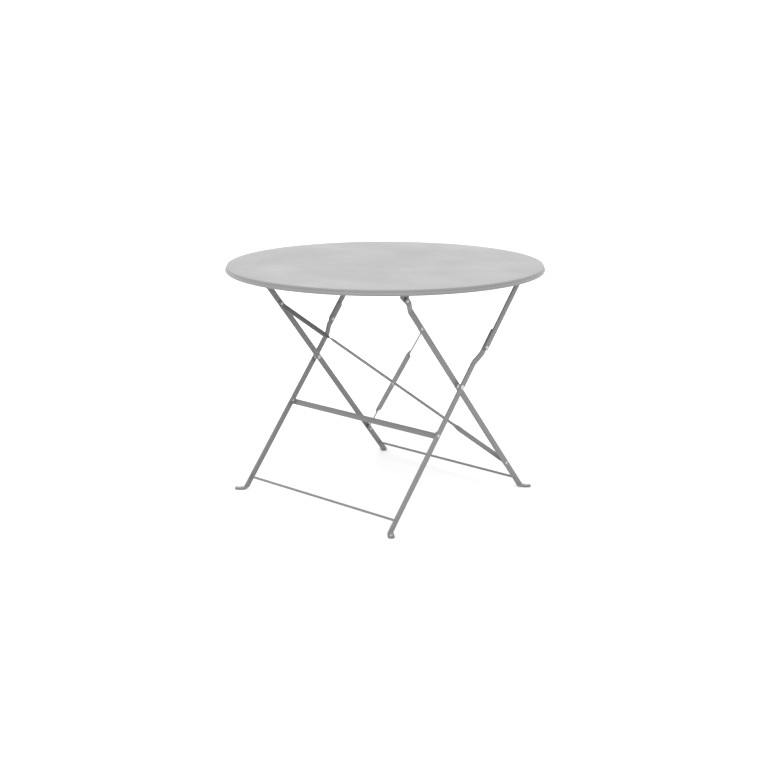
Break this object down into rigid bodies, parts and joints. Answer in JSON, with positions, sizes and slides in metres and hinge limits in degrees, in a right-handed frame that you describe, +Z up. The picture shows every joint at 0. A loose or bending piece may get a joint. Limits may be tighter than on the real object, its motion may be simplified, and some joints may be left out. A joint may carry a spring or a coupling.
{
  "type": "folding bistro table",
  "caption": "Round folding cafe table in painted steel: a pressed top with a rolled rim on crossed flat-bar leg frames, with twisted cross braces, fold-out links and turned-out toes",
  "frame": {"origin": "on the floor, under the middle of the tabletop", "axes": "+Z up; +X to the right, along the hinge axes; +Y from the outer frame's feet towards the inner frame's feet"},
  "size_m": [0.96, 0.96, 0.71],
  "materials": {
    "top_paint": "satin light-grey powder coat on pressed sheet",
    "frame_paint": "satin light-grey powder coat on flat steel bar",
    "rivet_paint": "powder coat over domed steel rivets, a little glossier than the bars",
    "glide_plastic": "plain grey moulded plastic"
  },
  "bodies": {
    "inner_frame": {"inner_leg_left": "frame_paint", "inner_leg_right": "frame_paint", "inner_glide_left": "glide_plastic", "inner_glide_right": "glide_plastic", "inner_toe_rivet_left": "rivet_paint", "inner_toe_rivet_right": "rivet_paint", "scissor_rivet_left": "rivet_paint", "scissor_rivet_right": "rivet_paint", "scissor_spacer_left": "rivet_paint", "scissor_spacer_right": "rivet_paint", "brace_rivet_top_left": "rivet_paint", "brace_rivet_top_right": "rivet_paint", "brace_rivet_bottom_left": "rivet_paint", "brace_rivet_bottom_right": "rivet_paint", "brace_back": "frame_paint", "brace_front": "frame_paint", "brace_rivet_centre": "rivet_paint", "inner_foot_rod": "frame_paint"},
    "outer_frame": {"outer_leg_left": "frame_paint", "outer_leg_right": "frame_paint", "outer_glide_left": "glide_plastic", "outer_glide_right": "glide_plastic", "outer_toe_rivet_left": "rivet_paint", "outer_toe_rivet_right": "rivet_paint", "cross_bar_rivet_left": "rivet_paint", "cross_bar_rivet_right": "rivet_paint", "link_rivet_tail_left": "rivet_paint", "link_rivet_tail_right": "rivet_paint", "outer_cross_bar": "frame_paint", "outer_foot_rod": "frame_paint"},
    "top": {"tabletop": "top_paint", "tabletop_rim": "top_paint", "rim_wire": "frame_paint", "rail_left": "frame_paint", "rail_right": "frame_paint", "top_bracket_left": "frame_paint", "top_bracket_right": "frame_paint", "link_bracket_left": "frame_paint", "link_bracket_right": "frame_paint", "top_hinge_rivet_left": "rivet_paint", "top_hinge_rivet_right": "rivet_paint", "link_hinge_rivet_left": "rivet_paint", "link_hinge_rivet_right": "rivet_paint"},
    "left_link": {"link_left": "frame_paint", "link_rivet_head_left": "rivet_paint"},
    "right_link": {"link_right": "frame_paint", "link_rivet_head_right": "rivet_paint"}
  },
  "joints": [
    {"name": "scissor_fold", "type": "hinge", "parent": "inner_frame", "child": "outer_frame", "pos_m": [0, 0, 0.37701], "axis": [1, 0, 0], "range_deg": [0, 71.36]},
    {"name": "top_hinge", "type": "hinge", "parent": "inner_frame", "child": "top", "pos_m": [0, -0.23564, 0.6636], "axis": [1, 0, 0], "range_deg": [-43.01, 0]},
    {"name": "left_link_hinge", "type": "hinge", "parent": "top", "child": "left_link", "pos_m": [0, 0.25093, 0.6822], "axis": [1, 0, 0], "range_deg": [-43.57, 0]},
    {"name": "right_link_hinge", "type": "hinge", "parent": "top", "child": "right_link", "pos_m": [0, 0.25093, 0.6822], "axis": [1, 0, 0], "range_deg": [-43.57, 0]}
  ],
  "couplings": [
    {"joint": "top_hinge", "follows": "scissor_fold", "ratio": -0.60244},
    {"joint": "left_link_hinge", "follows": "scissor_fold", "ratio": -0.61027},
    {"joint": "right_link_hinge", "follows": "scissor_fold", "ratio": -0.61027}
  ]
}
